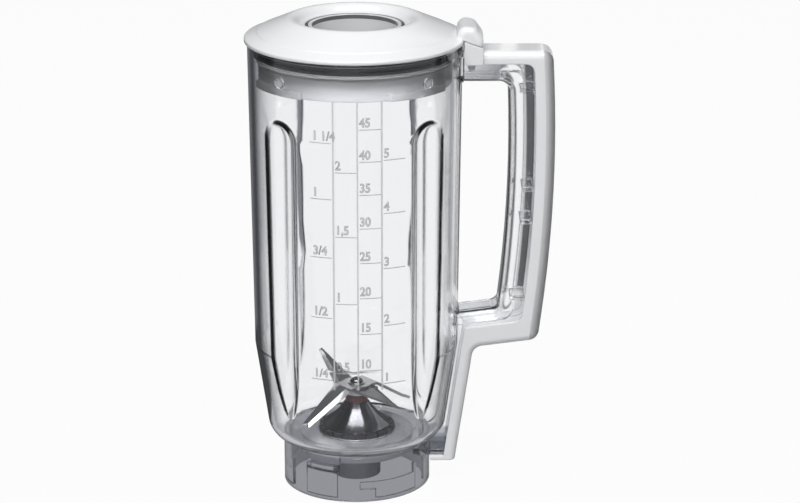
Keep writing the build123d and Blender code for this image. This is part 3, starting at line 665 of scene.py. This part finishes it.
class JAR_OT_blade_unit(bpy.types.Operator):
    """Gives the carrier, the dome and the bushes their finishes"""

    bl_idname = "jar.blade_unit"
    bl_label = "Blade unit"

    CARRIER_ROUGHNESS = 0.4
    DOME_ROUGHNESS = 0.13
    BUSH_ROUGHNESS = 0.35

    def execute(self, context):
        colours = context.scene.jar_finishes
        # The carrier's two colours are painted light and shade on one plastic
        carrier = two_tone_plastic("carrier_plastic", colours.carrier_top, colours.carrier,
                                   colours.base_height, self.CARRIER_ROUGHNESS)
        dress(carrier, "blade_carrier")
        # Painted shade: the dome's steel is painted dark to stand in for dark reflections
        dress(turned_steel("dome_steel", colours.dome, self.DOME_ROUGHNESS), "bearing_dome")
        dress(turned_steel("bush_metal", colours.bush, self.BUSH_ROUGHNESS), "upper_bush", "lower_bush")
        return {"FINISHED"}


class JAR_OT_rotor(bpy.types.Operator):
    """Gives the blades, the shaft and what turns with them their finishes"""

    bl_idname = "jar.rotor"
    bl_label = "Blades and shaft"

    BLADE_ROUGHNESS = 0.24
    SHAFT_ROUGHNESS = 0.25
    NUT_ROUGHNESS = 0.15
    COUPLING_ROUGHNESS = 0.5

    def execute(self, context):
        colours = context.scene.jar_finishes
        upper = ground_steel("upper_blade_steel", colours.blade, colours.ground, self.BLADE_ROUGHNESS)
        dress(upper, "upper_blade")
        # Painted shade: the lower blade takes darkened copies of the upper blade's steel colours
        lower = ground_steel("lower_blade_steel", colours.lower_blade, colours.worn, self.BLADE_ROUGHNESS)
        dress(lower, "lower_blade")
        dress(turned_steel("shaft_steel", colours.blade, self.SHAFT_ROUGHNESS),
              "drive_shaft", "blade_collar", "hub_washer", "thrust_washer", "retaining_ring")
        # Painted shade: the hub nut takes the same darkened steel as the dome
        dress(turned_steel("nut_steel", colours.dome, self.NUT_ROUGHNESS), "hub_nut")
        coupling = moulded_plastic("coupling_plastic", colours.coupling, self.COUPLING_ROUGHNESS, MATT_SCALE)
        dress(coupling, "drive_coupling")
        return {"FINISHED"}


def add_piece(context, name, mesh, *materials):
    """Turns a bmesh into an object of the scene."""
    data = bpy.data.meshes.new(name)
    mesh.to_mesh(data)
    mesh.free()
    for material in materials:
        data.materials.append(material)
    piece = bpy.data.objects.new(name, data)
    context.scene.collection.objects.link(piece)
    return piece


class JarSurface:
    """Finds points on the surface of the jar and its handle frame."""

    FAR_FRONT = 1.0

    def __init__(self):
        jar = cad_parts["jar_body"].data
        corners = [vertex.co for vertex in jar.vertices]
        self.tree = BVHTree.FromPolygons(corners, [face.vertices[:] for face in jar.polygons])

    def hit(self, start, way):
        place, normal, _, _ = self.tree.ray_cast(Vector(start), Vector(way))
        if place is None:
            raise RuntimeError("a piece misses the jar's surface")
        return place, normal

    def point(self, across, height, proud):
        """Point on the front of the outer wall, or proud of it."""
        place, normal = self.hit((across, -self.FAR_FRONT, height), (0.0, 1.0, 0.0))
        return place + normal * proud


class JAR_OT_grip_ribs(bpy.types.Operator):
    """Adds the two clip ribs at the middle of the grip"""

    bl_idname = "jar.grip_ribs"
    bl_label = "Grip ribs"

    def execute(self, context):
        sizes = context.scene.jar_grip
        surface = JarSurface()
        mesh = bmesh.new()
        for height in (sizes.rib_low, sizes.rib_high):
            face, _ = surface.hit((sizes.gap_middle, 0.0, height), (1.0, 0.0, 0.0))
            middle = face.x + sizes.rib_inset + sizes.rib_reach / 2
            size = Matrix.Diagonal((sizes.rib_reach, 2 * sizes.rib_half, sizes.rib_thickness, 1.0))
            bmesh.ops.create_cube(mesh, size=1.0, matrix=Matrix.Translation((middle, 0.0, height)) @ size)
        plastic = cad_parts["jar_body"].data.materials[0]
        ribs = add_piece(context, "grip_ribs", mesh, plastic)
        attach(ribs, "jar")
        return {"FINISHED"}


def raised_strip(mesh, wall, path, across, proud, slot):
    """A thin strip along a path on the wall, closed at both ends, in one of the scale's finishes."""
    corners = ((-1, -proud), (1, -proud), (1, proud), (-1, proud))
    sections = [[mesh.verts.new(wall.point(x + side * across.x, z + side * across.y, lift))
                 for side, lift in corners] for x, z in path]
    faces = [mesh.faces.new(sections[0][::-1]), mesh.faces.new(sections[-1])]
    for first, second in zip(sections, sections[1:]):
        for corner in range(4):
            after = (corner + 1) % 4
            faces.append(mesh.faces.new((first[corner], first[after], second[after], second[corner])))
    for face in faces:
        face.material_index = slot


class JAR_OT_measuring_scale(bpy.types.Operator):
    """Adds the raised measuring scale to the front of the jar"""

    bl_idname = "jar.measuring_scale"
    bl_label = "Measuring scale"

    MARK_SLOT, LINE_SLOT = 0, 1
    LINE_STEPS = 40
    TICK_STEPS = 8
    FONT_SIZE = 1.35
    CONDENSED = 0.85
    FIRST_MARK = 0.25
    # Litres to a unit, as the marks stand on the jar
    PINT = 0.56
    OUNCE = 0.0292
    CUP = 0.2345

    def execute(self, context):
        sizes = context.scene.jar_scale
        wall = JarSurface()
        mesh = bmesh.new()
        lines = [sizes.line_middle + step * sizes.line_pitch for step in (-1, 0, 1)]
        rise = sizes.line_high - sizes.line_low
        for x in lines:
            path = [(x, sizes.line_low + rise * step / self.LINE_STEPS)
                    for step in range(self.LINE_STEPS + 1)]
            raised_strip(mesh, wall, path, Vector((sizes.line_width / 2, 0.0)), sizes.proud, self.LINE_SLOT)
        left = lines[0] - sizes.tick_length - sizes.tick_gap
        starts = [left] + [x + sizes.tick_gap for x in lines]
        insets = [sizes.litre_inset, 0.0, 0.0, 0.0]
        for start, inset, marks in zip(starts, insets, self.columns()):
            for text, litres in marks:
                self.add_mark(mesh, wall, sizes, start, inset, text, litres)
        colours = context.scene.jar_finishes
        scale = add_piece(context, "measuring_scale", mesh,
                          frosted_marks("frosted_marks", colours.marks),
                          frosted_marks("frosted_lines", colours.lines))
        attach(scale, "jar")
        return {"FINISHED"}

    def columns(self):
        """Numbers and litres of the four columns: litres, pints, fluid ounces and cups."""
        litres = [("1/4", 0.25), ("1/2", 0.5), ("3/4", 0.75), ("1", 1.0), ("1 1/4", 1.25)]
        halves = [("0,5", 0.5), ("1", 1.0), ("1,5", 1.5), ("2", 2.0)]
        pints = [(text, self.PINT * amount) for text, amount in halves]
        ounces = [(str(amount), self.OUNCE * amount) for amount in range(10, 50, 5)]
        cups = [(str(amount), self.CUP * amount) for amount in range(1, 6)]
        return litres, pints, ounces, cups

    def add_mark(self, mesh, wall, sizes, start, inset, text, litres):
        """One mark and the number that stands on it."""
        more = litres - self.FIRST_MARK
        z = sizes.quarter_litre + more * sizes.litre - more * more * sizes.widening
        path = [(start + sizes.tick_length * step / self.TICK_STEPS, z)
                for step in range(self.TICK_STEPS + 1)]
        raised_strip(mesh, wall, path, Vector((0.0, sizes.tick_width / 2)), sizes.proud, self.MARK_SLOT)
        number = self.flat_number(text, sizes)
        for vertex in number.vertices:
            x = start + inset + vertex.co.x * self.CONDENSED
            vertex.co = wall.point(x, z + sizes.digit_lift + vertex.co.y, vertex.co.z)
        mesh.from_mesh(number)
        bpy.data.meshes.remove(number)

    def flat_number(self, text, sizes):
        """Outlines of a number as a mesh, flat, from its lower left corner."""
        curve = bpy.data.curves.new("number", "FONT")
        curve.body = text
        curve.size = sizes.digit_height * self.FONT_SIZE
        curve.fill_mode = "NONE"
        curve.bevel_depth = sizes.digit_line
        curve.bevel_resolution = 1
        curve.resolution_u = 3
        writing = bpy.data.objects.new("number", curve)
        bpy.context.scene.collection.objects.link(writing)
        drawn = writing.evaluated_get(bpy.context.evaluated_depsgraph_get())
        number = bpy.data.meshes.new_from_object(drawn)
        bpy.data.objects.remove(writing)
        bpy.data.curves.remove(curve)
        return number


def hide_from(piece, *rays):
    """Hides a piece of the stage from some kinds of rays."""
    for ray in rays:
        setattr(piece, f"visible_{ray}", False)


def add_lamp(context, name, place, aim, size, power, colour):
    """A soft rectangular lamp that the camera doesn't see."""
    light = bpy.data.lights.new(name, "AREA")
    light.shape = "RECTANGLE"
    light.size, light.size_y = size
    light.energy = power
    light.color = colour
    lamp = bpy.data.objects.new(name, light)
    lamp.location = place
    lamp.rotation_euler = (Vector(aim) - Vector(place)).to_track_quat("-Z", "Y").to_euler()
    hide_from(lamp, "camera")
    context.scene.collection.objects.link(lamp)


class JAR_OT_stage(bpy.types.Operator):
    """Sets up the floor, the card, the scrim, the room, the lamps and the camera"""

    bl_idname = "jar.stage"
    bl_label = "Studio"

    LAMP_AIM = (0.0, 0.0, 0.13)
    KEY_PLACE = (-0.05, -0.9, 2.05)
    KEY_SIZE = (2.0, 1.2)
    KEY_COLOUR = (1.0, 0.995, 0.985)
    FILL_PLACE = (-0.4, -2.6, 0.6)
    FILL_SIZE = (1.4, 1.4)
    FILL_COLOUR = (0.95, 0.97, 1.0)
    FLOOR_HALF = 12.0
    CARD_HALF = 0.6
    STRIP_SOFT = 3.0 * MM
    GLOW_SOFT = 10.0 * MM
    ARM_SHARE = 0.6
    SCRIM_SIDES = 96
    SCRIM_FALL = 0.75
    WALL_TURNS = (0.1, 0.9)
    CEILING_STARTS = (0.05, 0.55)
    SENSOR_WIDTH = 36.0
    NEAR_CLIP = 0.01
    FAR_CLIP = 50.0

    def execute(self, context):
        stage = context.scene.jar_stage
        self.floor(context, stage)
        self.card(context, stage)
        self.scrim(context, stage)
        self.room(context, stage)
        add_lamp(context, "key", self.KEY_PLACE, self.LAMP_AIM, self.KEY_SIZE,
                 stage.key_power, self.KEY_COLOUR)
        add_lamp(context, "fill", self.FILL_PLACE, self.LAMP_AIM, self.FILL_SIZE,
                 stage.fill_power, self.FILL_COLOUR)
        self.camera(context, stage)
        context.scene.view_settings.view_transform = "Standard"
        return {"FINISHED"}

    def floor(self, context, stage):
        """Floor that is white to the camera, greyer in gloss and through plastic, and matt to other light."""
        material, finish = new_finish("floor")
        kinds = ("Is Camera Ray", "Is Glossy Ray", "Is Transmission Ray", "Diffuse Depth")
        camera, glossy, through, scattered = finish.rays(*kinds)
        colour = finish.mix(glossy, rgb(WHITE), rgb(stage.floor_mirrored))
        colour = finish.mix(through, colour, rgb(stage.floor_through))
        plain = finish.node("ShaderNodeEmission", None, {"Color": colour, "Strength": 1.0})
        matt = finish.node("ShaderNodeBsdfDiffuse", None, {"Color": rgb(stage.floor)})
        straight = 1.0 - finish.clamp(scattered)
        share = (1.0 - stage.shadow) * camera + straight * (glossy + through)
        finish.surface(finish.node("ShaderNodeMixShader", None, {0: share, 1: matt, 2: plain}))
        mesh = bmesh.new()
        bmesh.ops.create_grid(mesh, x_segments=1, y_segments=1, size=self.FLOOR_HALF)
        floor = add_piece(context, "floor", mesh, material)
        floor.location.z = CAD_BOX[0].z

    def card(self, context, stage):
        """Card behind the jar, white in the middle and grey at its sides, that plastic and gloss show."""
        mesh = bmesh.new()
        bmesh.ops.create_grid(mesh, x_segments=1, y_segments=1, size=self.CARD_HALF)
        bmesh.ops.rotate(mesh, verts=mesh.verts, matrix=Matrix.Rotation(math.pi / 2, 3, "X"))
        card = add_piece(context, "card", mesh, self.card_material(stage))
        card.location = (stage.card_middle, stage.card_back, CAD_BOX[0].z)
        hide_from(card, "camera", "diffuse", "shadow")

    def card_material(self, stage):
        material, finish = new_finish("card")
        across, _, up = finish.axes(finish.place())
        mirrored, scattered = [finish.clamp(depth) for depth in finish.rays("Glossy Depth", "Diffuse Depth")]
        middle = finish.band(across, 0.0, stage.card_bright, stage.card_fade)
        glow = finish.band(up, stage.glow_height, stage.glow_half, self.GLOW_SOFT)
        glow = glow * finish.band(across, 0.0, stage.glow_half, self.GLOW_SOFT)
        middle = middle * (1.0 - mirrored + mirrored * glow)
        bend = bowed(across, up, stage.strip_height, stage.strip_bow)
        strip = finish.band(bend, stage.strip_across, stage.strip_half, self.STRIP_SOFT)
        side = finish.band(across, stage.side_across, stage.side_half, self.STRIP_SOFT)
        arm = finish.band(across, stage.arm_across, stage.arm_half, self.STRIP_SOFT)
        arm = self.ARM_SHARE * arm * finish.band(up, stage.arm_height, stage.arm_rise, self.STRIP_SOFT)
        low = mirrored * (1.0 - finish.span(up, stage.card_low - self.GLOW_SOFT, stage.card_low))
        bright = finish.clamp(middle + (1.0 - low) * (strip + side + arm))
        far = finish.span(abs(across), stage.card_far - self.STRIP_SOFT, stage.card_far)
        grey = finish.mix(far, rgb(stage.card_grey), rgb(stage.card_dark))
        grey = finish.mix(low, grey, rgb(stage.card_dark))
        colour = finish.mix(bright, grey, rgb(stage.card_white))
        colour = finish.mix(scattered, colour, rgb(BLACK))
        finish.surface(finish.node("ShaderNodeEmission", None, {"Color": colour, "Strength": 1.0}))
        return material

    def scrim(self, context, stage):
        """Unseen scrim in the front of the jar's mouth: light on the skirt fades upwards and sideways."""
        material, finish = new_finish("scrim")
        across, _, height = finish.axes(finish.place())
        beside = finish.span(abs(across), stage.scrim_middle, stage.scrim_side)
        below = 1.0 - finish.span(height, stage.scrim_low, stage.scrim_dark)
        passing = below * (1.0 - self.SCRIM_FALL * beside)
        black = finish.node("ShaderNodeBsdfDiffuse", None, {"Color": rgb(BLACK)})
        clear = finish.node("ShaderNodeBsdfTransparent")
        finish.surface(finish.node("ShaderNodeMixShader", None, {0: passing, 1: black, 2: clear}))
        depth = stage.scrim_high - stage.scrim_foot
        lift = Matrix.Translation((0.0, 0.0, stage.scrim_foot + depth / 2))
        mesh = bmesh.new()
        bmesh.ops.create_cone(mesh, cap_ends=False, segments=self.SCRIM_SIDES, radius1=stage.scrim_radius,
                              radius2=stage.scrim_radius, depth=depth, matrix=lift)
        rear = [face for face in mesh.faces if face.calc_center_median().y > 0.0]
        bmesh.ops.delete(mesh, geom=rear, context="FACES")
        scrim = add_piece(context, "scrim", mesh, material)
        hide_from(scrim, "camera", "glossy", "transmission")

    def room(self, context, stage):
        """Room that is dark overhead and on the handle's side, and white to the camera."""
        world = bpy.data.worlds.new("room")
        world.use_nodes = True
        context.scene.world = world
        finish = Finish(world.node_tree)
        right, _, height = finish.axes(finish.place("Generated"))
        wall = finish.mix(finish.span(right, *self.WALL_TURNS), rgb(stage.pale_wall), rgb(stage.dark_wall))
        colour = finish.mix(finish.span(height, *self.CEILING_STARTS), wall, rgb(stage.ceiling))
        room = finish.node("ShaderNodeBackground", None, {"Color": colour, "Strength": stage.ambient})
        white = finish.node("ShaderNodeBackground", None, {"Color": rgb(WHITE), "Strength": 1.0})
        [camera] = finish.rays("Is Camera Ray")
        shader = finish.node("ShaderNodeMixShader", None, {0: camera, 1: room, 2: white})
        finish.node("ShaderNodeOutputWorld", None, {"Surface": shader})

    def camera(self, context, stage):
        data = bpy.data.cameras.new("camera")
        data.sensor_width = self.SENSOR_WIDTH
        data.lens = stage.lens
        data.clip_start = self.NEAR_CLIP
        data.clip_end = self.FAR_CLIP
        camera = bpy.data.objects.new("camera", data)
        camera.location = (stage.camera_x, stage.camera_y, stage.camera_z)
        camera.rotation_euler = (math.pi / 2 - stage.camera_pitch, 0.0, 0.0)
        context.scene.collection.objects.link(camera)
        context.scene.camera = camera


OPERATORS = (
    JAR_OT_clear_jar,
    JAR_OT_white_parts,
    JAR_OT_seals,
    JAR_OT_filler_cup,
    JAR_OT_blade_unit,
    JAR_OT_rotor,
    JAR_OT_grip_ribs,
    JAR_OT_measuring_scale,
    JAR_OT_stage,
)


class JAR_PT_sidebar(bpy.types.Panel):
    """Lists the jar's operators and settings"""

    bl_idname = "JAR_PT_sidebar"
    bl_label = "Blender Jar"
    bl_space_type = "VIEW_3D"
    bl_region_type = "UI"
    bl_category = "Jar"

    def draw(self, context):
        for operator in OPERATORS:
            self.layout.operator(operator.bl_idname)
        for group in SETTINGS:
            settings = getattr(context.scene, group)
            box = self.layout.box()
            for name in settings.__annotations__:
                box.prop(settings, name)


CLASSES = (*SETTINGS.values(), *OPERATORS, JAR_PT_sidebar)


def register():
    for made in CLASSES:
        bpy.utils.register_class(made)
    for name, group in SETTINGS.items():
        setattr(bpy.types.Scene, name, PointerProperty(type=group))


def unregister():
    for name in SETTINGS:
        delattr(bpy.types.Scene, name)
    for made in reversed(CLASSES):
        bpy.utils.unregister_class(made)


def main():
    register()
    bpy.ops.jar.clear_jar()
    bpy.ops.jar.white_parts()
    bpy.ops.jar.seals()
    bpy.ops.jar.filler_cup()
    bpy.ops.jar.blade_unit()
    bpy.ops.jar.rotor()
    bpy.ops.jar.grip_ribs()
    bpy.ops.jar.measuring_scale()
    bpy.ops.jar.stage()


if __name__ == "__main__":
    main()
